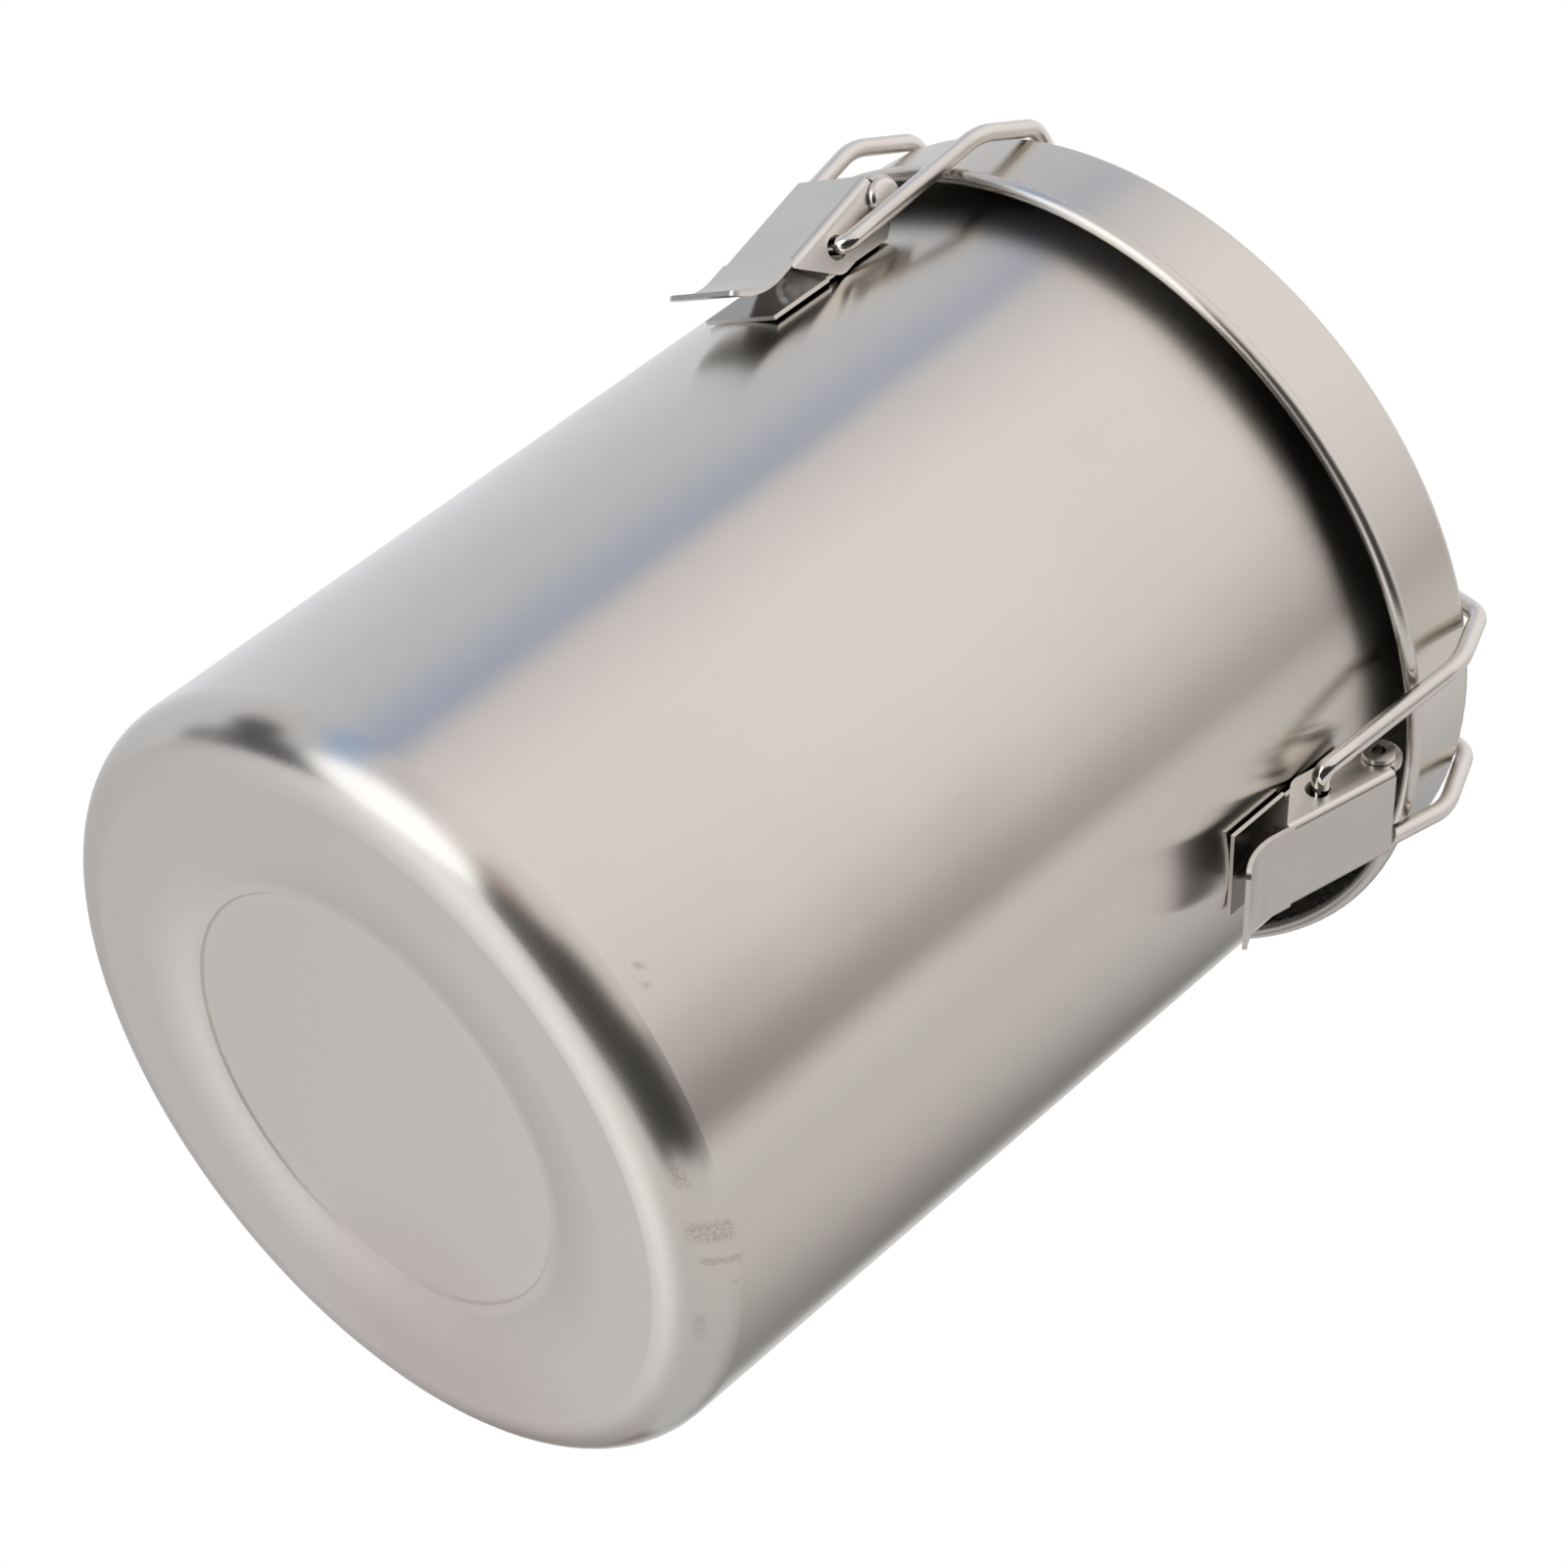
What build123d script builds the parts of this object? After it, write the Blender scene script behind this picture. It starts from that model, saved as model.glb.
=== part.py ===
# Stainless milk can: a deep-drawn can, a press-on lid with a rolled skirt, and three
# over-centre toggle latches whose wire bails hook over the lid.
# Units mm, +Z up. The origin is the centre of the flat ring that the can stands on.
from build123d import *
from math import cos, radians, sin, sqrt
import os

os.makedirs("parts", exist_ok=True)

# ---------------------------------------------------------------- driving sizes
# Can
can_diameter = 170.0            # outside
can_height = 224.6              # standing ring to the top of the rolled rim
can_sheet = 0.8
base_corner_radius = 11.5       # outside, between the wall and the base
foot_ring_width = 17.0          # the flat ring that the can stands on
base_dish_width = 9.7           # slope between that ring and the disc pressed up inside it
base_rise = 1.4
disc_step = 0.5
rim_roll_radius = 1.8

# Lid
lid_sheet = 0.8
lid_edge_radius = 2.0
skirt_clearance = 1.5           # between the rolled rim and the skirt's inside
skirt_flare = 0.7               # radial growth of the skirt down to its bead
skirt_bead_radius = 1.7
skirt_depth = 21.1              # lid's edge to the centre of the rolled bead
lid_slope = 0.18                # rise over run of the sloping shoulder
shoulder_width = 20.1           # sloping part, outside the flat middle
plateau_blend_radius = 25.0
roll_opening = 110.0            # degrees of a roll that stay open

# Gasket
gasket_width = 5.4
gasket_height = 3.0
gasket_corner_radius = 0.7
seal_gap = 0.3                  # between the gasket and the rolled rim
gasket_seat_gap = 0.3           # to the lid, above and outside

# Latches
latch_count = 3
front_latch_angle = 270.0       # degrees about Z
latch_names = ["front", "right", "left"]

base_sheet = 0.9
base_plate_margin = 0.9         # each side of the plate's wide part beyond its ears
base_plate_length = 35.0
base_plate_drop = 2.1           # the plate's top edge below the pivot
plate_corner_cut = 1.8
ear_spacing = 19.8              # across the outer faces of the two ears
ear_thickness = 1.0
ear_radius = 4.2
ear_root_height = 11.0

pivot_drop = 35.9               # pivot axis below the lid's edge
rivet_diameter = 4.6
rivet_head_diameter = 8.2
rivet_head_height = 1.5
rivet_dome_radius = 1.3
rivet_rolled_diameter = 6.8
rivet_rolled_height = 1.2
rivet_roll_radius = 0.8
rivet_bore_diameter = 2.8
rivet_bore_depth = 6.0
rivet_fit = 0.02                # radial, in the ears it is set in
pivot_clearance = 0.06          # radial, in the lever's holes
side_clearance = 0.2            # beside the lever's flanges

lever_lean = 12.8               # degrees, the closed lever's foot leans to the can
lever_sheet = 1.0
lever_bend_radius = 1.5
lever_face_height = 6.2         # pivot axis to the lever's outer face
lever_face_start = 0.5          # below the pivot, along the lever
lever_face_length = 27.0
lever_knuckle_radius = 4.8
relief_width = 0.7              # notch where the face's bend ends at the knuckle
relief_depth = 0.8              # of the notch, inside the bend
tongue_inset = 0.3              # each edge of the tongue inside the flange
tongue_straight = 3.6
tongue_curl_radius = 14.0       # outside face
tongue_curl_angle = 51.0
tongue_corner_radius = 2.0

eye_drop = 15.2                 # wire axis below the pivot, closed
eye_inset = 3.0                 # wire axis nearer the can than the pivot, closed
eye_slack = 1.4                 # the eye's hole over the wire, which sits at its upper edge
eye_standoff = 5.2              # wire axis to the can wall, closed
land_offset = 0.8               # the flange's rounded corner is centred below the hole
land_depth = 1.1                # and nearer the can
land_clearance = 0.3            # corner to the wall, and to the base plate's shoulder
eye_clearance = 0.08            # between the seated wire and the hole's edge

# Bail
wire_diameter = 3.8
wire_end_inside = 2.6           # how far a wire end reaches past the flange
bail_side_play = 1.2            # the bail sits this far towards the rivet's rolled end
bail_spread = 5.4               # each leg's spread from its eye to its kink
bail_close = 0.9                # and its way back from the kink to the crossbar
kink_standoff = 1.8             # wire axis outside the lid's bead
kink_drop = 12.5                # below the lid's edge
hook_corner_inset = 1.2         # wire axis inside the skirt's top
hook_corner_rise = 1.05         # the wire's underside above the lid's edge
crossbar_inset = 12.0           # from the hook corner towards the lid's centre
bail_gap = 0.05                 # between the crossbar and the lid
eye_bend_radius = 2.6
kink_radius = 13.0
hook_bend_radius = 4.2

# Lid handle
handle_wire_diameter = 4.0
handle_pin_span = 88.0          # between the two legs' centres
handle_reach = 30.0
handle_corner_radius = 8.0
handle_pin_bend_radius = 4.0
handle_lay_gap = 0.3            # under the handle where it lies on the lid
pin_overrun = 1.0               # the pin's end past its saddle
saddle_width = 8.0
saddle_sheet = 1.2
saddle_foot = 7.0
saddle_inset = 8.0              # saddle's middle to the handle's leg
saddle_clearance = 0.06         # radial

# ------------------------------------------------------------- derived geometry
can_radius = can_diameter / 2
can_inner_radius = can_radius - can_sheet
rim_roll_x = can_inner_radius + rim_roll_radius
rim_roll_z = can_height - rim_roll_radius
foot_ring_radius = can_radius - base_corner_radius - foot_ring_width
base_disc_radius = foot_ring_radius - base_dish_width
base_disc_z = base_rise + disc_step
towards_axis = 180.0            # degrees, the way a roll opens

lid_height = can_height + seal_gap + gasket_height + gasket_seat_gap + lid_sheet
skirt_top_radius = rim_roll_x + rim_roll_radius + skirt_clearance + lid_sheet
skirt_bottom_radius = skirt_top_radius + skirt_flare
bead_x = skirt_bottom_radius - lid_sheet + skirt_bead_radius
bead_z = lid_height - skirt_depth
plateau_radius = skirt_top_radius - shoulder_width
plateau_z = lid_height + lid_slope * shoulder_width

latch_angles = [front_latch_angle + i * 360 / latch_count for i in range(latch_count)]
base_face = can_radius + base_sheet
ear_outer = ear_spacing / 2
base_plate_width = ear_spacing + 2 * base_plate_margin
eye_x = can_radius + eye_standoff
pivot_x = eye_x + eye_inset
pivot_height = lid_height - pivot_drop
eye_z = pivot_height - eye_drop
base_plate_top = pivot_height - base_plate_drop
lever_inner_half = ear_outer + side_clearance
lever_half = lever_inner_half + lever_sheet
rivet_radius = rivet_diameter / 2
wire_radius = wire_diameter / 2
eye_hole_diameter = wire_diameter + eye_slack
bail_eye_half_width = lever_half + side_clearance + bail_side_play + wire_radius
bail_half_width = bail_eye_half_width + bail_spread
crossbar_half_width = bail_half_width - bail_close
kink_x = bead_x + skirt_bead_radius + kink_standoff
kink_height = lid_height - kink_drop
hook_corner_x = skirt_top_radius - hook_corner_inset
hook_corner_z = lid_height + hook_corner_rise + wire_radius
crossbar_x = hook_corner_x - crossbar_inset
shoulder_z = lid_height + lid_slope * (skirt_top_radius - crossbar_x)
crossbar_z = shoulder_z + (wire_radius + bail_gap) * sqrt(1 + lid_slope**2)
handle_radius = handle_wire_diameter / 2

lean = radians(lever_lean)
eye_along = eye_inset * sin(lean) + eye_drop * cos(lean)
eye_across = eye_drop * sin(lean) - eye_inset * cos(lean)
eye_hole_radius = eye_hole_diameter / 2
hole_along = eye_along + eye_hole_radius - wire_radius - eye_clearance
land_along = hole_along + land_offset
land_across = eye_across - land_depth
land_x = pivot_x - land_along * sin(lean) + land_across * cos(lean)
land_z = pivot_height - land_along * cos(lean) - land_across * sin(lean)
flange_wall_x = sqrt(can_radius**2 - lever_inner_half**2)
land_radius = land_x - flange_wall_x - land_clearance
plate_shoulder_z = land_z - land_radius - land_clearance

handle_axis_z = plateau_z + handle_lay_gap + handle_radius
handle_pin_reach = saddle_inset + saddle_width / 2 + pin_overrun
saddle_x = handle_pin_span / 2 - saddle_inset


def latch_frame(angle):
    """Radial plane of a latch: local x is outwards from the can's axis, local y is up."""
    return Plane(
        origin=(0, 0, 0),
        x_dir=(cos(radians(angle)), sin(radians(angle)), 0),
        z_dir=(sin(radians(angle)), -cos(radians(angle)), 0),
    )


def front_frame(angle, standoff):
    """Upright plane facing outwards at a latch: local x runs sideways, local y is up."""
    outward = Vector(cos(radians(angle)), sin(radians(angle)), 0)
    return Plane(
        origin=outward * standoff,
        x_dir=(-sin(radians(angle)), cos(radians(angle)), 0),
        z_dir=outward,
    )


def roll_ring(center_x, center_z, radius, sheet, open_from):
    """Section of an open sheet-metal roll, in the current sketch."""
    with Locations((center_x, center_z)):
        Circle(radius)
        Circle(radius - sheet, mode=Mode.SUBTRACT)
    reach = 2 * radius
    half_opening = roll_opening / 2
    wedge = [
        (center_x + reach * cos(radians(a)), center_z + reach * sin(radians(a)))
        for a in (open_from, open_from + half_opening, open_from + roll_opening)
    ]
    Polygon((center_x, center_z), *wedge, align=None, mode=Mode.SUBTRACT)


# --------------------------------------------------------------------- can body
# One deep-drawn shell: standing ring, shallow centre disc, large base corner,
# straight wall and a rim rolled outwards.
with BuildPart() as can_body:
    with BuildSketch(Plane.XZ):
        roll_ring(rim_roll_x, rim_roll_z, rim_roll_radius, can_sheet, towards_axis)
        with BuildLine():
            outer = Polyline(
                (0, base_disc_z),
                (base_disc_radius - disc_step, base_disc_z),
                (base_disc_radius, base_rise),
                (foot_ring_radius, 0),
                (can_radius - base_corner_radius, 0),
            )
            corner = JernArc(outer @ 1, (1, 0), base_corner_radius, 90)
            wall = Line(corner @ 1, (can_radius, rim_roll_z))
            lip = Line(wall @ 1, (can_inner_radius, rim_roll_z))
            inner_corner_z = base_corner_radius
            inner_wall = Line(lip @ 1, (can_inner_radius, inner_corner_z))
            inner_corner = JernArc(
                inner_wall @ 1, (0, -1), base_corner_radius - can_sheet, -90
            )
            Polyline(
                inner_corner @ 1,
                (foot_ring_radius, can_sheet),
                (base_disc_radius, base_rise + can_sheet),
                (base_disc_radius - disc_step, base_disc_z + can_sheet),
                (0, base_disc_z + can_sheet),
                (0, base_disc_z),
            )
        make_face()
    revolve(axis=Axis.Z)
can_body.part.label = "can_body"
export_step(can_body.part, "parts/can_body.step")

# -------------------------------------------------------------------- lid shell
# Drawn from one disc: flat middle, sloping shoulder, tight edge, flared skirt and
# a bead rolled outwards at the skirt's foot.
with BuildPart() as lid_shell:
    with BuildSketch(Plane.XZ):
        roll_ring(
            bead_x, bead_z, skirt_bead_radius, lid_sheet, towards_axis - roll_opening
        )
        with BuildLine():
            FilletPolyline(
                (0, plateau_z),
                (plateau_radius, plateau_z),
                (skirt_top_radius, lid_height),
                (skirt_bottom_radius, bead_z),
                radius=[plateau_blend_radius, lid_edge_radius],
            )
            offset(amount=lid_sheet, side=Side.RIGHT)
        make_face()
    revolve(axis=Axis.Z)
lid_shell.part.label = "lid_shell"
export_step(lid_shell.part, "parts/lid_shell.step")

# ------------------------------------------------------------------- lid gasket
# Moulded silicone ring that sits in the lid's corner and seals on the rolled rim.
gasket_outer_radius = skirt_top_radius - lid_sheet - gasket_seat_gap - gasket_corner_radius
with BuildPart() as lid_gasket:
    with BuildSketch(Plane.XZ):
        with Locations(
            (
                gasket_outer_radius - gasket_width / 2,
                can_height + seal_gap + gasket_height / 2,
            )
        ):
            RectangleRounded(gasket_width, gasket_height, gasket_corner_radius)
    revolve(axis=Axis.Z)
lid_gasket.part.label = "lid_gasket"
export_step(lid_gasket.part, "parts/lid_gasket.step")

# ----------------------------------------------------------------------- latches
for name, angle in zip(latch_names, latch_angles):
    radial = latch_frame(angle)

    # Latch base: flat pressing, spot-welded to the wall along its middle. Its lower
    # part is wider, and above that shoulder two ears fold outwards to the pivot.
    with BuildPart() as latch_base:
        with BuildSketch(front_frame(angle, can_radius)):
            with Locations((0, base_plate_top - base_plate_length / 2)):
                Rectangle(ear_spacing, base_plate_length)
            base_plate_bottom = base_plate_top - base_plate_length
            with Locations((0, (base_plate_bottom + plate_shoulder_z) / 2)):
                foot = Rectangle(base_plate_width, plate_shoulder_z - base_plate_bottom)
            chamfer(foot.vertices().group_by(Axis.Y)[0], length=plate_corner_cut)
        extrude(amount=base_sheet)
        ear_root_z = base_plate_top - ear_root_height / 2
        for side in (1, -1):
            ear_plane = radial.offset(side * (ear_outer - ear_thickness / 2))
            with BuildSketch(ear_plane):
                with Locations((pivot_x, pivot_height)):
                    Circle(ear_radius)
                with Locations((base_face - base_sheet / 2, ear_root_z)):
                    Rectangle(base_sheet, ear_root_height)
                make_hull()
                with Locations((pivot_x, pivot_height)):
                    Circle(rivet_radius + rivet_fit, mode=Mode.SUBTRACT)
            extrude(amount=ear_thickness / 2, both=True)
    latch_base.part.label = f"latch_base_{name}"
    export_step(latch_base.part, f"parts/latch_base_{name}.step")

    # Pivot rivet: domed head on one side, tubular end rolled over on the other.
    head_start = lever_half + side_clearance
    with BuildPart() as pivot_rivet:
        pivot_point = radial.from_local_coords((pivot_x, pivot_height, 0))
        with BuildSketch(Plane(origin=pivot_point, x_dir=(0, 0, 1), z_dir=radial.x_dir)):
            head_r = rivet_head_diameter / 2
            rolled_r = rivet_rolled_diameter / 2
            bore_r = rivet_bore_diameter / 2
            rolled_end = head_start + rivet_rolled_height
            with BuildLine():
                Polyline(
                    (0, -head_start - rivet_head_height),
                    (0, rolled_end - rivet_bore_depth),
                    (bore_r, rolled_end - rivet_bore_depth),
                    (bore_r, rolled_end),
                    (rolled_r, rolled_end),
                    (rolled_r, head_start),
                    (rivet_radius, head_start),
                    (rivet_radius, -head_start),
                    (head_r, -head_start),
                    (head_r, -head_start - rivet_head_height),
                    close=True,
                )
            ends = make_face().vertices().group_by(Axis.Y)
            fillet(ends[0].sort_by(Axis.X)[-1], radius=rivet_dome_radius)
            fillet(ends[-1].sort_by(Axis.X)[-1], radius=rivet_roll_radius)
        revolve(axis=Axis(pivot_point, radial.z_dir))
    pivot_rivet.part.label = f"latch_pivot_rivet_{name}"
    export_step(pivot_rivet.part, f"parts/latch_pivot_rivet_{name}.step")

    # Lever: one folded pressing. Flat face, two flanges round the pivot and the
    # bail's eyes, and a tongue that curls outwards to take a finger.
    outward, up = radial.x_dir, radial.y_dir
    down_lever = outward * -sin(lean) - up * cos(lean)
    lever_side = Plane(origin=pivot_point, x_dir=down_lever, z_dir=radial.z_dir)
    lever_end = Plane(origin=pivot_point, x_dir=-radial.z_dir, z_dir=down_lever)
    face_end = lever_face_start + lever_face_length
    web_inner = lever_face_height - lever_sheet
    with BuildPart() as lever:
        with BuildSketch(lever_end.offset(-2 * lever_knuckle_radius)):
            depth = lever_face_height + 2 * lever_knuckle_radius
            with Locations((0, lever_face_height - depth / 2)):
                shell = Rectangle(2 * lever_half, depth)
            fillet(shell.vertices().group_by(Axis.Y)[-1], radius=lever_bend_radius)
            with Locations((0, web_inner - depth / 2)):
                Rectangle(2 * lever_inner_half, depth, mode=Mode.SUBTRACT)
        extrude(amount=2 * lever_knuckle_radius + face_end)
        with BuildSketch(lever_side):
            Circle(lever_knuckle_radius)
            with Locations((land_along, land_across)):
                Circle(land_radius)
            face_middle = lever_face_start + lever_face_length / 2
            with Locations((face_middle, lever_face_height - lever_bend_radius / 2)):
                Rectangle(lever_face_length, lever_bend_radius)
            make_hull()
            with Locations((lever_face_start - lever_knuckle_radius, lever_face_height)):
                Rectangle(2 * lever_knuckle_radius, 2 * lever_bend_radius, mode=Mode.SUBTRACT)
            notch_height = 2 * (lever_bend_radius + relief_depth)
            with Locations((lever_face_start - relief_width / 2, lever_face_height)):
                Rectangle(relief_width, notch_height, mode=Mode.SUBTRACT)
        extrude(amount=lever_half, both=True, mode=Mode.INTERSECT)
        with BuildSketch(lever_side):
            with BuildLine():
                run = Line(
                    (face_end - lever_sheet, lever_face_height),
                    (face_end + tongue_straight, lever_face_height),
                )
                JernArc(run @ 1, (1, 0), tongue_curl_radius, tongue_curl_angle)
                offset(amount=lever_sheet, side=Side.RIGHT)
            make_face()
        extrude(amount=lever_half - tongue_inset, both=True)
        tip = lever.faces().sort_by(Axis(pivot_point, down_lever))[-1]
        fillet(tip.edges().sort_by(SortBy.LENGTH)[:2], radius=tongue_corner_radius)
        with BuildSketch(lever_side):
            Circle(rivet_radius + pivot_clearance)
            with Locations((hole_along, eye_across)):
                Circle(eye_hole_radius)
        extrude(amount=lever_half, both=True, mode=Mode.SUBTRACT)
    lever.part.label = f"latch_lever_{name}"
    export_step(lever.part, f"parts/latch_lever_{name}.step")

    # Bail: one bent wire. Its ends turn inwards through the lever's eyes, its legs
    # pass outside the skirt, kink over the lid's edge and end in the crossbar.
    half_path = [
        (eye_x, eye_z, lever_inner_half - wire_end_inside),
        (eye_x, eye_z, bail_eye_half_width),
        (kink_x, kink_height, bail_half_width),
        (hook_corner_x, hook_corner_z, crossbar_half_width),
        (crossbar_x, crossbar_z, crossbar_half_width),
    ]
    full_path = half_path + [(x, y, -z) for x, y, z in reversed(half_path)]
    placed_path = [radial.from_local_coords((x, y, z + bail_side_play)) for x, y, z in full_path]
    half_bends = [eye_bend_radius, kink_radius, hook_bend_radius, hook_bend_radius]
    with BuildPart() as bail:
        with BuildLine() as wire_path:
            FilletPolyline(*placed_path, radius=half_bends + half_bends[::-1])
        with BuildSketch(Plane(origin=wire_path.line @ 0, z_dir=wire_path.line % 0)):
            Circle(wire_radius)
        sweep()
    bail.part.label = f"latch_bail_{name}"
    export_step(bail.part, f"parts/latch_bail_{name}.step")

# ------------------------------------------------------------------- lid handle
# Drop handle of bent wire. It lies on the lid and swings up on its two pins.
with BuildPart() as lid_handle:
    leg_x = handle_pin_span / 2
    with BuildLine(Plane.XY.offset(handle_axis_z)) as handle_path:
        FilletPolyline(
            (leg_x - handle_pin_reach, 0),
            (leg_x, 0),
            (leg_x, -handle_reach),
            (-leg_x, -handle_reach),
            (-leg_x, 0),
            (-leg_x + handle_pin_reach, 0),
            radius=[
                handle_pin_bend_radius,
                handle_corner_radius,
                handle_corner_radius,
                handle_pin_bend_radius,
            ],
        )
    with BuildSketch(Plane(origin=handle_path.line @ 0, z_dir=handle_path.line % 0)):
        Circle(handle_radius)
    sweep()
lid_handle.part.label = "lid_handle"
export_step(lid_handle.part, "parts/lid_handle.step")

# Saddles: bent straps over the handle's pins, their feet spot-welded to the lid.
saddle_inner = handle_radius + saddle_clearance
saddle_outer = saddle_inner + saddle_sheet
saddle_length = 2 * (saddle_outer + saddle_foot)
saddle_rise = handle_axis_z - plateau_z
for name, x in (("left", -saddle_x), ("right", saddle_x)):
    with BuildPart() as handle_saddle:
        with BuildSketch(Plane.YZ.offset(x)):
            with Locations((0, handle_axis_z)):
                Circle(saddle_outer)
            with Locations((0, plateau_z + saddle_rise / 2)):
                Rectangle(2 * saddle_outer, saddle_rise)
            with Locations((0, plateau_z + saddle_sheet / 2)):
                Rectangle(saddle_length, saddle_sheet)
            with Locations((0, handle_axis_z)):
                Circle(saddle_inner, mode=Mode.SUBTRACT)
            with Locations((0, handle_axis_z - saddle_outer)):
                Rectangle(2 * saddle_inner, 2 * saddle_outer, mode=Mode.SUBTRACT)
            with Locations((0, plateau_z - saddle_outer)):
                Rectangle(saddle_length, 2 * saddle_outer, mode=Mode.SUBTRACT)
        extrude(amount=saddle_width / 2, both=True)
    handle_saddle.part.label = f"handle_saddle_{name}"
    export_step(handle_saddle.part, f"parts/handle_saddle_{name}.step")
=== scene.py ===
from math import cos, pi, radians, sin

import bpy
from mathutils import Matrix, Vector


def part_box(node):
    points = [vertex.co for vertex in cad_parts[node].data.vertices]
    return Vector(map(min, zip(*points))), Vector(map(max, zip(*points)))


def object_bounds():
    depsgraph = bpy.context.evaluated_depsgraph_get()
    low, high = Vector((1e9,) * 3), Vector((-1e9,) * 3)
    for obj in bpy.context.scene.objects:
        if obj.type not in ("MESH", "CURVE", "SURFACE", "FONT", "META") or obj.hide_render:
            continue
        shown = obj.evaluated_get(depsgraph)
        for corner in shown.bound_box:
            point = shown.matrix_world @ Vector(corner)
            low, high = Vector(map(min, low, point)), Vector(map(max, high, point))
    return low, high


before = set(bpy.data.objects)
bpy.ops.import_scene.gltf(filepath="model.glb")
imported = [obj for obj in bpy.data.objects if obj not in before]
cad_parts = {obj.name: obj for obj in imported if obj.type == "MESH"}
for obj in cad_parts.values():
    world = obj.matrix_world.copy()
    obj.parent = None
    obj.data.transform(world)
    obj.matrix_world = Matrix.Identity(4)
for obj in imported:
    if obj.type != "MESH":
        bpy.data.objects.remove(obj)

cad_low, cad_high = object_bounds()

# ------------------------------------------------------------------ can body
# Deep-drawn stainless can. The wall keeps a satin finish turned round the axis, and
# the base and the lower half of its corner are blasted matt after drawing.


class Finish:
    """One procedural material, and the nodes that it is made with."""

    def __init__(self, name, base_color, metallic, roughness):
        self.material = bpy.data.materials.new(name)
        self.material.use_nodes = True
        self.tree = self.material.node_tree
        self.shader = self.tree.nodes["Principled BSDF"]
        self.give(base_color, "Base Color")
        self.give(metallic, "Metallic")
        self.give(roughness, "Roughness")
        self.place = self.node("ShaderNodeTexCoord").outputs["Object"]
        self.relief = None

    def node(self, kind, **settings):
        made = self.tree.nodes.new(kind)
        for key, value in settings.items():
            setattr(made, key, value)
        return made

    def feed(self, source, target):
        """Link a socket, or set a plain number, place or colour, into an input."""
        if isinstance(source, bpy.types.NodeSocket):
            self.tree.links.new(source, target)
        else:
            target.default_value = (*source, 1) if target.type == "RGBA" else source

    def give(self, source, name):
        """Feed one of the shader's own inputs."""
        self.feed(source, self.shader.inputs[name])

    def math(self, operation, *terms):
        made = self.node("ShaderNodeMath", operation=operation)
        for term, target in zip(terms, made.inputs):
            self.feed(term, target)
        return made.outputs[0]

    def vector(self, operation, *terms):
        made = self.node("ShaderNodeVectorMath", operation=operation)
        for term, target in zip(terms, made.inputs):
            self.feed(term, target)
        return made.outputs["Value" if operation in ("DOT_PRODUCT", "DISTANCE") else "Vector"]

    def split(self, vector):
        made = self.node("ShaderNodeSeparateXYZ")
        self.feed(vector, made.inputs[0])
        return made.outputs

    def joined(self, x, y, z):
        made = self.node("ShaderNodeCombineXYZ")
        for value, target in zip((x, y, z), made.inputs):
            self.feed(value, target)
        return made.outputs[0]

    def noise(self, vector, scale, detail=3.0, rough=0.55):
        made = self.node("ShaderNodeTexNoise")
        self.feed(vector, made.inputs["Vector"])
        made.inputs["Scale"].default_value = scale
        made.inputs["Detail"].default_value = detail
        made.inputs["Roughness"].default_value = rough
        return made.outputs["Fac"]

    def spread(self, value, low, high, to_low=0.0, to_high=1.0):
        """Carry a value from one range to another, with soft ends."""
        made = self.node("ShaderNodeMapRange", interpolation_type="SMOOTHSTEP")
        for source, key in (
            (value, "Value"), (low, "From Min"), (high, "From Max"),
            (to_low, "To Min"), (to_high, "To Max"),
        ):
            self.feed(source, made.inputs[key])
        return made.outputs[0]

    def spread_line(self, gap, reach):
        """1 at a gap of nothing, falling in a straight line to 0 at reach."""
        made = self.math("SUBTRACT", 1.0, self.math("DIVIDE", gap, reach))
        return self.math("MAXIMUM", made, 0.0)

    def near(self, centre, inner, outer):
        """1 within inner metres of a point, falling to 0 at outer."""
        return self.spread(self.vector("DISTANCE", self.place, centre), outer, inner)

    def blend(self, factor, a, b):
        """Mix two numbers."""
        made = self.node("ShaderNodeMix", data_type="FLOAT")
        for source, at in zip((factor, a, b), (0, 2, 3)):
            self.feed(source, made.inputs[at])
        return made.outputs[0]

    def tint(self, factor, a, b):
        """Mix two colours."""
        made = self.node("ShaderNodeMix", data_type="RGBA")
        for source, at in zip((factor, a, b), (0, 6, 7)):
            self.feed(source, made.inputs[at])
        return made.outputs[2]

    def bump(self, height, depth):
        """Add relief of a real depth in metres, on top of any relief before it."""
        made = self.node("ShaderNodeBump")
        self.feed(height, made.inputs["Height"])
        made.inputs["Distance"].default_value = depth
        if self.relief:
            self.feed(self.relief, made.inputs["Normal"])
        self.relief = made.outputs[0]
        self.give(self.relief, "Normal")

    def round_the_axis(self):
        """Place as (turn round the can's axis, radius, height)."""
        x, y, z = self.split(self.place)
        square = self.math("ADD", self.math("MULTIPLY", x, x), self.math("MULTIPLY", y, y))
        return self.math("ARCTAN2", y, x), self.math("SQRT", square), z

    def trued(self):
        """Turn the shading square to the circle round the axis, so the sheet shows no seam."""
        facing = self.node("ShaderNodeTexCoord").outputs["Normal"]
        around = self.vector("NORMALIZE", self.vector("CROSS_PRODUCT", (0, 0, 1), self.place))
        stray = self.node("ShaderNodeVectorMath", operation="SCALE")
        self.feed(around, stray.inputs[0])
        self.feed(self.vector("DOT_PRODUCT", facing, around), stray.inputs["Scale"])
        square = self.vector("NORMALIZE", self.vector("SUBTRACT", facing, stray.outputs[0]))
        made = self.node("ShaderNodeVectorTransform", vector_type="NORMAL")
        made.convert_from, made.convert_to = "OBJECT", "WORLD"
        self.feed(square, made.inputs[0])
        self.relief = made.outputs[0]

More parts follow.
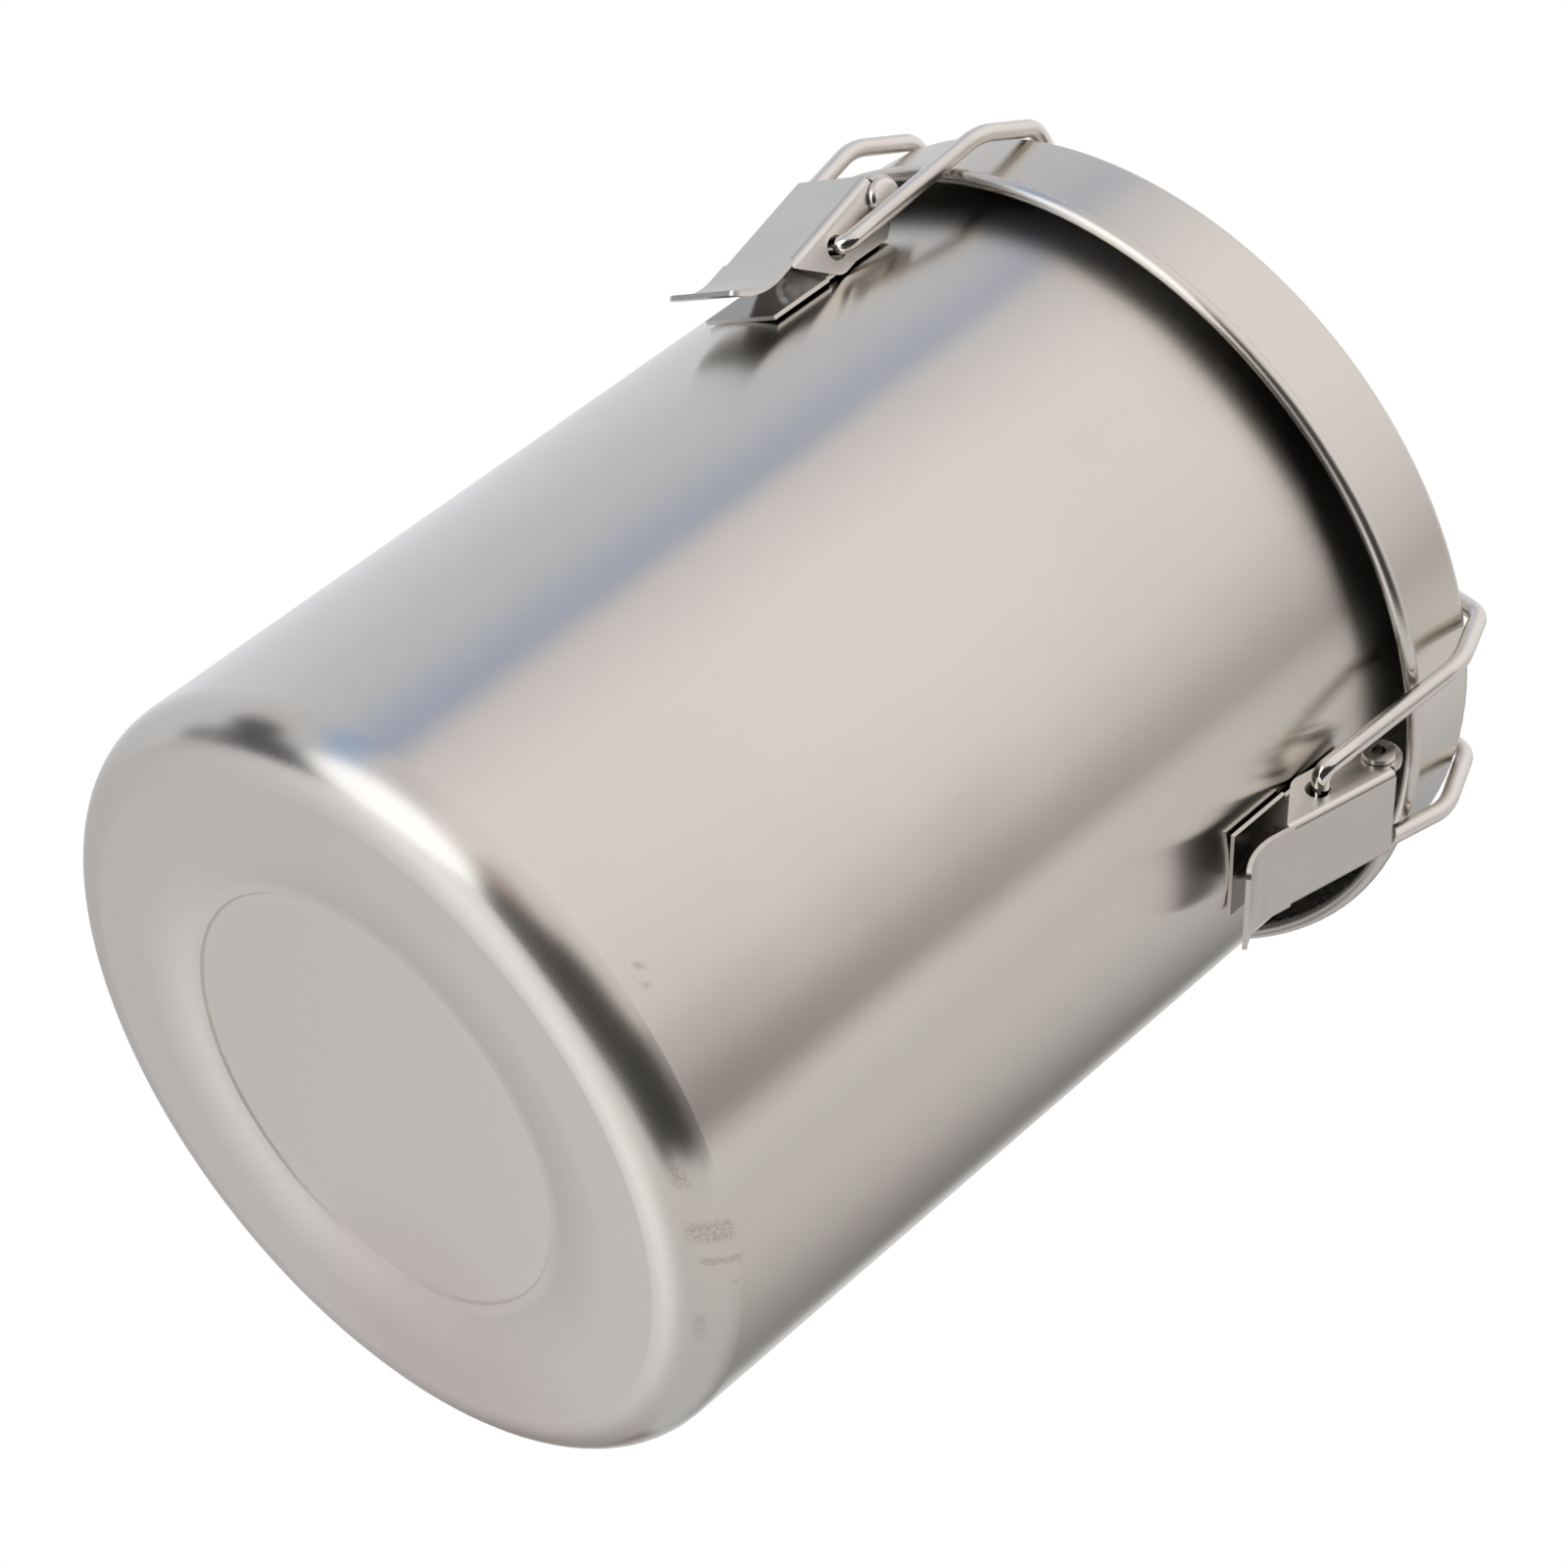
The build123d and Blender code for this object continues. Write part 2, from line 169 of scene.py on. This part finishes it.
    def turned(self, strength):
        """Grain round the can's axis, which smears a reflection along that axis."""
        grain = self.node("ShaderNodeTangent", direction_type="RADIAL", axis="Z")
        self.give(strength, "Anisotropic")
        self.give(0.25, "Anisotropic Rotation")         # a quarter of a turn
        self.give(grain.outputs[0], "Tangent")


steel_color, worn_color = (0.72, 0.68, 0.625), (0.60, 0.56, 0.51)
worn_low, worn_high, worn_share = 0.60, 0.80, 0.35      # speckle that is worn, and how much
satin_low, satin_high = 0.20, 0.24      # roughness of the turned satin
soft_low, soft_high = 0.3, 0.7          # span that a cloudy noise keeps to
grain_round, grain_up = 2.0, 900.0      # grain marks in a radian, and in a metre of height
grain_relief, grain_strength = 0.0000015, 0.95         # its depth, and how much it smears
blast_pitch, blast_relief = 1400.0, 0.00001             # grains in a metre, and their depth
satin_blast = 0.1                       # share of the blasting's relief on satin


def turned_sheet(name, cloud_pitch):
    """Drawn steel sheet, with its place about the axis, its grain, speckle and satin."""
    made = Finish(name, steel_color, 1.0, satin_high)
    made.turn, made.radius, made.height = made.round_the_axis()
    drawn = made.joined(
        made.math("MULTIPLY", made.turn, grain_round),
        made.radius,
        made.math("MULTIPLY", made.height, grain_up),
    )
    made.grain = made.noise(drawn, 1.0, detail=4.0)
    made.speckle = made.noise(made.place, blast_pitch, detail=2.0)
    cloud = made.noise(made.place, cloud_pitch, detail=4.0)
    made.satin_rough = made.spread(cloud, soft_low, soft_high, satin_low, satin_high)
    worn = made.spread(made.speckle, worn_low, worn_high, 0.0, worn_share)
    made.metal = made.tint(worn, steel_color, worn_color)
    made.trued()
    return made


def turned_skin(finish, blasted, grain):
    """Relief of the grain and of the blasting, and the smear that the grain gives to satin."""
    blasting = finish.math("MULTIPLY", finish.speckle, finish.blend(blasted, satin_blast, 1.0))
    finish.bump(grain, grain_relief)
    finish.bump(blasting, blast_relief)
    finish.turned(finish.blend(blasted, grain_strength, 0.0))


def dress(node_name, finish):
    """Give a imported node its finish."""
    node = bpy.data.objects[node_name]
    node.data.materials.clear()
    node.data.materials.append(finish.material)


satin = turned_sheet("satin_can_steel", cloud_pitch=14.0)
turn, radius, height = satin.turn, satin.radius, satin.height

# blasting, masked off above the lower half of the corner, the mask low on one side
foot_low, foot_high = 0.0018, 0.0034    # heights where matt blasting turns to satin
foot_ragged = 0.0008                    # how far that line wanders up and down
lean_turn, lean_start, lean_drop = radians(-80), 0.75, 0.0010
lean_inner, lean_outer = 0.070, 0.076   # radii between which the lean comes in
lean = satin.math("COSINE", satin.math("SUBTRACT", turn, lean_turn))
lean = satin.spread(lean, lean_start, 1.0, 0.0, lean_drop)
lean = satin.math("MULTIPLY", lean, satin.spread(radius, lean_inner, lean_outer))
mask_height = satin.math(
    "ADD", satin.math("ADD", height, lean), satin.math("MULTIPLY", satin.speckle, foot_ragged)
)
matt = satin.spread(mask_height, foot_high + foot_ragged / 2, foot_low + foot_ragged / 2)

# disc pressed in the middle of the base, with a duller line round its edge
matt_rough, disc_rough, line_rough = 0.42, 0.48, 0.16
disc_edge, disc_soft = 0.0468, 0.0006   # its radius, and half the width of its step
line_inner, line_outer = 0.0008, 0.0030                 # gaps that the line fades between
edge_gap = satin.math("ABSOLUTE", satin.math("SUBTRACT", radius, disc_edge))
disc_line = satin.spread(edge_gap, line_outer, line_inner, 0.0, line_rough)
disc = satin.spread(radius, disc_edge + disc_soft, disc_edge - disc_soft, matt_rough, disc_rough)
rough = satin.blend(matt, satin.satin_rough, satin.math("ADD", disc, disc_line))

# scuffs from storage, each a slanted smear: place about the axis and half width in
# degrees, foot and head in metres
scuffs = (
    (15.9, 1.5, 0.0032, 0.0120), (20.7, 0.55, 0.0042, 0.0125), (24.6, 0.35, 0.0095, 0.0110),
    (7.2, 1.6, 0.0035, 0.0060), (32.8, 2.4, 0.0030, 0.0046),
    (-22.0, 0.6, 0.0158, 0.0178), (-19.4, 0.5, 0.0148, 0.0164),
)
scuff_color, scuff_rough = (0.40, 0.35, 0.31), 0.10
scuff_slant = radians(295)              # turn that a scuff gains in a metre of height
side_outer, side_inner = 1.5, 0.6       # where its sides fade, in half widths
end_inner, foot_outer, head_outer = 0.0012, 0.0008, 0.0010
streak_pitch, streak_low, streak_high = 1500.0, 0.40, 0.60
streak_thin, streak_thick = 0.10, 0.50  # how much a scuff hides the steel
slanted = satin.math("MULTIPLY_ADD", height, -scuff_slant, turn)
scuffed = 0.0
for about, half, foot, head in scuffs:
    off = satin.math("ABSOLUTE", satin.math("SUBTRACT", slanted, radians(about)))
    across = satin.spread(off, radians(side_outer * half), radians(side_inner * half))
    up = satin.spread(height, foot - foot_outer, foot + end_inner)
    down = satin.spread(height, head + head_outer, head - end_inner)
    smear = satin.math("MULTIPLY", across, satin.math("MULTIPLY", up, down))
    scuffed = satin.math("MAXIMUM", scuffed, smear)
streaks = satin.noise(satin.place, streak_pitch, rough=0.65)
streaks = satin.spread(streaks, streak_low, streak_high, streak_thin, streak_thick)
scuffed = satin.math("MULTIPLY", scuffed, streaks)
satin.give(satin.math("MULTIPLY_ADD", scuffed, scuff_rough, rough), "Roughness")

# faint pinkish, slightly darker tone on one side of the matt base
blush_color, blush_centre = (0.68, 0.605, 0.57), (-0.018, 0.062, 0.0)
blush_inner, blush_outer = 0.010, 0.045
blush = satin.math("MULTIPLY", satin.near(blush_centre, blush_inner, blush_outer), matt)
metal = satin.tint(blush, satin.metal, blush_color)
satin.give(satin.tint(scuffed, metal, scuff_color), "Base Color")

# the drawn base turns softly from its standing ring into the dish
dish_edge, dish_blend, dish_relief = 0.0565, 0.006, 0.00021
dish_high, dish_low = 0.004, 0.003      # the dish lies below these heights
dish_gap = satin.math("ABSOLUTE", satin.math("SUBTRACT", radius, dish_edge))
dish_turn = satin.math("POWER", satin.spread_line(dish_gap, dish_blend), 2.0)
dish_turn = satin.math("MULTIPLY", dish_turn, satin.spread(height, dish_high, dish_low))
satin.bump(satin.math("MULTIPLY", dish_turn, -1.0), dish_relief)
turned_skin(satin, matt, satin.math("MULTIPLY", satin.grain, satin.blend(matt, 1.0, 0.0)))
dress("can_body", satin)

# ----------------------------------------------------------------- lid shell
# Drawn stainless lid, hooped by its rolled bead. The skirt and the sloping shoulder
# carry the can's satin grain, the flat top is blasted matt like the base, and the
# inside is coloured dark as painted shade.
# painted shade: a dark colour given to faces turned into hollows and under parts
painted_shade_color = (0.20, 0.19, 0.175)
lid_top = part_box("lid_shell")[1][2]
top_high, top_low = 0.0012, 0.0030      # depths below the top where satin turns matt
inside_start, inside_full = -0.10, -0.60                # outwardness where the inside's painted shade starts and is whole


def outwardness(finish):
    """1 where a face looks away from the can's axis, -1 where it looks towards it."""
    away = finish.vector("NORMALIZE", finish.vector("MULTIPLY", finish.place, (1, 1, 0)))
    return finish.vector("DOT_PRODUCT", away, finish.node("ShaderNodeTexCoord").outputs["Normal"])


lid_steel = turned_sheet("satin_lid_steel", cloud_pitch=16.0)
blasted = lid_steel.spread(lid_steel.height, lid_top - top_low, lid_top - top_high)
lid_steel.give(lid_steel.blend(blasted, lid_steel.satin_rough, matt_rough), "Roughness")
# painted shade on the lid's faces turned towards the axis
lid_inside_shade = lid_steel.spread(outwardness(lid_steel), inside_start, inside_full)
lid_steel.give(lid_steel.tint(lid_inside_shade, lid_steel.metal, painted_shade_color), "Base Color")
turned_skin(lid_steel, blasted, lid_steel.grain)
dress("lid_shell", lid_steel)

# ---------------------------------------------------------------- lid gasket
# Moulded ring of milky food-grade silicone, pressed up into the rim of the lid by the
# can's rolled mouth. Its skin is matt from the mould.
silicone_color, silicone_deep = (0.86, 0.86, 0.82), (0.80, 0.80, 0.75)
silicone_low, silicone_high = 0.44, 0.54                # roughness
milk_pitch, mould_pitch, mould_relief = 60.0, 1800.0, 0.000002
silicone = Finish("milky_silicone", silicone_color, 0.0, silicone_low)
milk = silicone.noise(silicone.place, milk_pitch)
silicone.give(silicone.tint(milk, silicone_color, silicone_deep), "Base Color")
milk_rough = silicone.spread(milk, soft_low, soft_high, silicone_low, silicone_high)
silicone.give(milk_rough, "Roughness")
silicone.bump(silicone.noise(silicone.place, mould_pitch, detail=2.0), mould_relief)
dress("lid_gasket", silicone)

# ---------------------------------------------------------------- lid handle
# Drop handle of drawn stainless wire, bent cold, its two ends sprung into the saddles
# on the lid. It is tumbled with the other small steel, which leaves an uneven satin.
wire_color = (0.78, 0.74, 0.69)
tumble_pitch, peel_pitch, peel_relief = 90.0, 2200.0, 0.000001


def tumbled(name, color, low, high):
    """Steel that was tumbled: an uneven satin with a fine orange-peel skin."""
    made = Finish(name, color, 1.0, high)
    patch = made.noise(made.place, tumble_pitch, detail=4.0)
    made.rough = made.spread(patch, soft_low, soft_high, low, high)
    made.give(made.rough, "Roughness")
    made.bump(made.noise(made.place, peel_pitch, detail=2.0), peel_relief)
    return made


dress("lid_handle", tumbled("drawn_handle_wire", wire_color, low=0.28, high=0.34))

# ------------------------------------------------------------ handle saddles
# Two straps of pressed stainless sheet, bent over the handle's ends and spot-welded to
# the lid's top. Tumbling leaves them brighter than the wire.
rubbed_color = (0.80, 0.765, 0.72)
sheet_low, sheet_high = 0.26, 0.32      # roughness of tumbled sheet
saddle_steel = tumbled("tumbled_saddle_steel", rubbed_color, sheet_low, sheet_high)
for side in ("left", "right"):
    dress(f"handle_saddle_{side}", saddle_steel)

# --------------------------------------------------------------- latch bases
# Three flat pressings of annealed sheet with two folded ears, welded to the can's wall.
# Their faces are coloured dark as painted shade of the hollow under the lever, and their edges
# are rubbed bright.
latch_sides = ("front", "right", "left")
shade_rough = 0.12                       # smooth roughness of the faces with painted shade
face_start, face_full = 0.35, 0.80      # outwardness of an outer face
hidden_start, hidden_full = -0.30, -0.70                # and of a face turned to the can


def latch_sheet(name, face_color):
    """Latch sheet: its sides rubbed bright, and dark painted shade on its faces turned to the
    can.
    """
    made = tumbled(name, face_color, sheet_low, sheet_high)
    out = outwardness(made)
    faced = made.spread(out, face_start, face_full)
    hidden_shade = made.spread(out, hidden_start, hidden_full)
    # painted shade: the faces turned to the can are coloured dark and made smooth
    color = made.tint(hidden_shade, made.tint(faced, rubbed_color, face_color), painted_shade_color)
    made.give(color, "Base Color")
    dark = made.math("MAXIMUM", hidden_shade, faced) if face_color == painted_shade_color else hidden_shade
    made.give(made.blend(dark, made.rough, shade_rough), "Roughness")
    return made


# the bases take the painted shade all over their faces, standing in for the hollow under the
# levers
base_steel = latch_sheet("painted_shade_base_steel", painted_shade_color)
for side in latch_sides:
    dress(f"latch_base_{side}", base_steel)

# -------------------------------------------------------------- latch rivets
# Bright stainless rivets through the ears and the lever's knuckle. One end has a domed
# head, and the tubular other end is rolled over after the lever is in place.
rivet_steel = tumbled("tumbled_rivet", rubbed_color, low=0.20, high=0.26)
for side in latch_sides:
    dress(f"latch_pivot_rivet_{side}", rivet_steel)

# -------------------------------------------------------------- latch levers
# Levers folded from one annealed sheet, with two flanges and a curled tongue. The outer
# faces are tumbled, and the faces inside the fold get painted shade.
lever_color = (0.64, 0.615, 0.567)
lever_steel = latch_sheet("tumbled_lever_steel", lever_color)
for side in latch_sides:
    dress(f"latch_lever_{side}", lever_steel)

# --------------------------------------------------------------- latch bails
# Bails of drawn stainless wire, sprung into the lever's eyes and hooked over the lid.
# The legs are satin from drawing, and the two eye bends are rubbed bright.
eye_low, eye_high = 0.1830, 0.1875      # heights between the bright bend and the satin leg
eye_rough, leg_rough = 0.08, 0.34
wire_relief = 0.0000015
bail_wire = Finish("drawn_bail_wire", wire_color, 1.0, leg_rough)
rise = bail_wire.split(bail_wire.place)[2]
bail_wire.give(bail_wire.spread(rise, eye_low, eye_high, eye_rough, leg_rough), "Roughness")
bail_wire.bump(bail_wire.noise(bail_wire.place, peel_pitch, detail=2.0), wire_relief)
for side in latch_sides:
    dress(f"latch_bail_{side}", bail_wire)

# --------------------------------------------------------------------- floor
# Pale painted floor at the standing ring. It shows from above and keeps the can's
# shadow, and everything below it is open, so that the base is lit.
floor_size, floor_gap = 6.0, 0.0002
floor_color, floor_rough = (0.88, 0.88, 0.87), 0.7
bpy.ops.mesh.primitive_plane_add(size=floor_size, location=(0, 0, cad_low[2] - floor_gap))
floor = bpy.context.object
floor.name = "floor"
paint = Finish("pale_floor", floor_color, 0.0, floor_rough)
path = paint.node("ShaderNodeLightPath")
side_seen = paint.node("ShaderNodeNewGeometry")
clear = paint.node("ShaderNodeBsdfTransparent")
mixed = paint.node("ShaderNodeMixShader")
from_above = paint.math("SUBTRACT", 1.0, side_seen.outputs["Backfacing"])
paint.feed(paint.math("MULTIPLY", path.outputs["Is Camera Ray"], from_above), mixed.inputs[0])
paint.feed(clear.outputs[0], mixed.inputs[1])
paint.feed(paint.shader.outputs[0], mixed.inputs[2])
paint.feed(mixed.outputs[0], paint.tree.nodes["Material Output"].inputs["Surface"])
floor.data.materials.append(paint.material)

# ---------------------------------------------------------------- light tent
# Round tent of white cloth, lit from outside. Softboxes shine low on its left and low
# behind the can, and black flags hang beside and below the camera to give the bright
# steel its dark lines.
camera_azimuth = -23.9                  # degrees about the can, of the camera's side
tent_radius = 3.0
# degrees round the tent from the camera's side, and the tone there, for each band of cloth
side_cloth = (
    (-180, (0.49, 0.495, 0.54)), (-150, (0.62, 0.63, 0.66)), (-115, (0.70, 0.72, 0.78)),
    (-95, (0.67, 0.68, 0.71)), (-84, (0.60, 0.64, 0.72)), (-79, (0.41, 0.52, 0.76)),
    (-71, (0.42, 0.54, 0.77)), (-66, (0.64, 0.65, 0.70)), (-56, (0.67, 0.66, 0.68)),
    (-40, (0.84, 0.81, 0.83)), (-10, (0.84, 0.81, 0.80)), (40, (0.70, 0.69, 0.68)),
    (62, (0.66, 0.66, 0.66)), (80, (0.68, 0.67, 0.67)), (115, (0.60, 0.60, 0.61)),
    (150, (0.56, 0.57, 0.59)), (168, (0.51, 0.515, 0.55)),
)
upper_cloth = (
    (-180, (1.30, 1.33, 1.40)), (-166, (1.18, 1.23, 1.34)), (-157, (0.92, 0.97, 1.08)),
    (-140, (0.81, 0.85, 0.92)), (-115, (0.73, 0.77, 0.81)), (-95, (0.67, 0.69, 0.76)),
    (-81, (0.55, 0.59, 0.70)), (-74, (0.38, 0.44, 0.61)), (-69, (0.36, 0.42, 0.60)),
    (-66, (0.68, 0.68, 0.73)), (-62, (0.83, 0.79, 0.81)), (-42, (0.96, 0.92, 0.94)),
    (-8, (1.01, 0.98, 0.95)), (15, (0.98, 0.95, 0.93)), (30, (0.92, 0.89, 0.88)),
    (44, (0.81, 0.77, 0.78)), (57, (0.53, 0.49, 0.48)), (59.5, (0.57, 0.53, 0.53)),
    (62.5, (0.84, 0.83, 0.83)), (71, (0.79, 0.79, 0.79)), (78, (0.67, 0.66, 0.67)),
    (92, (0.69, 0.65, 0.67)), (104, (0.63, 0.61, 0.61)), (121, (0.45, 0.43, 0.43)),
    (138, (0.26, 0.25, 0.25)), (153, (0.24, 0.24, 0.24)), (157, (1.05, 1.05, 1.05)),
    (164, (1.36, 1.36, 1.37)),
)
high_cloth = (
    (-180, (1.10, 1.10, 1.12)), (-160, (0.90, 0.91, 0.94)), (-130, (0.74, 0.75, 0.79)),
    (-92, (0.67, 0.69, 0.73)), (-66, (0.72, 0.74, 0.80)), (-48, (0.92, 0.90, 0.91)),
    (-15, (0.99, 0.96, 0.97)), (10, (0.97, 0.92, 0.94)), (40, (0.85, 0.81, 0.83)),
    (62, (0.66, 0.62, 0.62)), (76, (0.58, 0.54, 0.52)), (90, (0.78, 0.77, 0.77)),
    (110, (0.64, 0.65, 0.65)), (135, (0.56, 0.57, 0.60)), (155, (0.60, 0.61, 0.63)),
    (166, (1.05, 1.05, 1.06)),
)
floor_cloth, top_cloth = (1.05, 1.05, 1.07), (0.92, 0.92, 0.92)
black, dark = 3 * (0.04,), 3 * (0.07,)
# direction about the camera's side, elevation, angle of the even core, of the edge, tone
panels = (
    (160, -52, 4, 24, (1.30, 1.31, 1.34)), (-19, -26, 6, 16, (0.42, 0.33, 0.29)),
    (51, 15.5, 6, 16, 3 * (0.13,)), (40, 8, 10, 18, dark), (38, -8, 18, 25, black),
    (24, -28, 26, 35, black), (7, -50, 24, 32, black), (46, -44, 13, 22, black),
    (-103, -14, 4, 12, black), (-113, -34, 10, 19, (0.08, 0.08, 0.09)),
    (-127, -24, 3, 10, 3 * (0.18,)), (-66, -44, 17, 28, (1.54, 1.59, 1.65)),
    (-95, -72, 6, 22, (1.40, 1.42, 1.46)),
)


def glowing(name, color):
    """Cloth that shines by itself and reflects nothing."""
    made = Finish(name, (0, 0, 0), 0.0, 1.0)
    made.give(0.0, "Specular IOR Level")
    made.give(color, "Emission Color")
    made.give(1.0, "Emission Strength")
    made.material.cycles.emission_sampling = "NONE"
    return made


bpy.ops.mesh.primitive_uv_sphere_add(segments=96, ring_count=48, radius=tent_radius)
tent = bpy.context.object
tent.name = "light_tent"
tent.visible_camera = False
cloth = glowing("lit_cloth", floor_cloth)
outward = cloth.vector("NORMALIZE", cloth.place)
x, y, rise = cloth.split(outward)
round_turn = cloth.math("ARCTAN2", y, x)
round_turn = cloth.math("MULTIPLY_ADD", round_turn, 1 / (2 * pi), 0.5 - camera_azimuth / 360)
round_turn = cloth.math("FRACT", round_turn)


def tones_round(tones):
    """Cloth tones round the tent, from the side opposite the camera and back to it."""
    made = cloth.node("ShaderNodeValToRGB")
    cloth.feed(round_turn, made.inputs[0])
    stops = made.color_ramp.elements
    stops[0].position, stops[1].position = 0.0, 1.0
    stops[0].color = stops[1].color = (*tones[0][1], 1)
    for angle, tone in tones[1:]:
        stops.new(0.5 + angle / 360).color = (*tone, 1)
    made.color_ramp.interpolation = "CARDINAL"
    return made.outputs[0]


tone = tones_round(side_cloth)
# rise, on a tent of radius 1, where the next cloth starts and where it is whole
for start, whole, next_cloth in (
    (0.12, 0.56, tones_round(upper_cloth)), (0.60, 0.66, tones_round(high_cloth)),
    (-0.72, -0.93, floor_cloth), (0.80, 0.98, top_cloth),
):
    tone = cloth.tint(cloth.spread(rise, start, whole), tone, next_cloth)
for about, above, core, edge, level in panels:
    azimuth, elevation = radians(camera_azimuth + about), radians(above)
    middle = (cos(azimuth) * cos(elevation), sin(azimuth) * cos(elevation), sin(elevation))
    facing = cloth.vector("DOT_PRODUCT", outward, middle)
    inside = cloth.spread(facing, cos(radians(edge)), cos(radians(core)))
    tone = cloth.tint(inside, tone, level)
cloth.give(tone, "Emission Color")
tent.data.materials.append(cloth.material)

# ---------------------------------------------------------------- brown flag
# Small square of brown felt on a stand behind the can, level with its base. The bright
# bead of the lid reflects it, and takes a darker far side from it.
felt_color = (0.24, 0.20, 0.18)
flag_turn = radians(camera_azimuth + 151)
flag_facing = radians(camera_azimuth + 165)
flag_reach, flag_height, flag_width = 0.365, -0.007, 0.146
flag_place = (flag_reach * cos(flag_turn), flag_reach * sin(flag_turn), flag_height)
bpy.ops.mesh.primitive_plane_add(size=1.0, location=flag_place)
flag = bpy.context.object
flag.name = "brown_flag"
flag.scale = (flag_width, flag_width, 1.0)
flag.rotation_euler = (pi / 2, 0, flag_facing + pi / 2)
flag.visible_camera = False
flag.data.materials.append(glowing("brown_felt", felt_color).material)

# ---------------------------------------------------------------- white room
# The tent stands in a plain white room with evenly lit walls. The camera sees them
# behind the can, and the tent hides them from the steel.
room = bpy.data.worlds.new("white_room")
bpy.context.scene.world = room
room.use_nodes = True
room.node_tree.nodes["Background"].inputs["Color"].default_value = (1, 1, 1, 1)

# -------------------------------------------------------------------- camera
# A long lens on a low stand, below the can's standing ring. It looks up at the base,
# and is rolled so that the can leans in the frame.
camera_data = bpy.data.cameras.new("camera")
camera_data.sensor_width = 36.0
camera_data.lens = 120.0
camera = bpy.data.objects.new("camera", camera_data)
bpy.context.collection.objects.link(camera)
camera.location = (0.81203, -0.35991, -0.45185)
camera.rotation_euler = (radians(136.2736), radians(-41.5882), radians(31.3052))
bpy.context.scene.camera = camera
bpy.context.scene.view_settings.view_transform = "Standard"
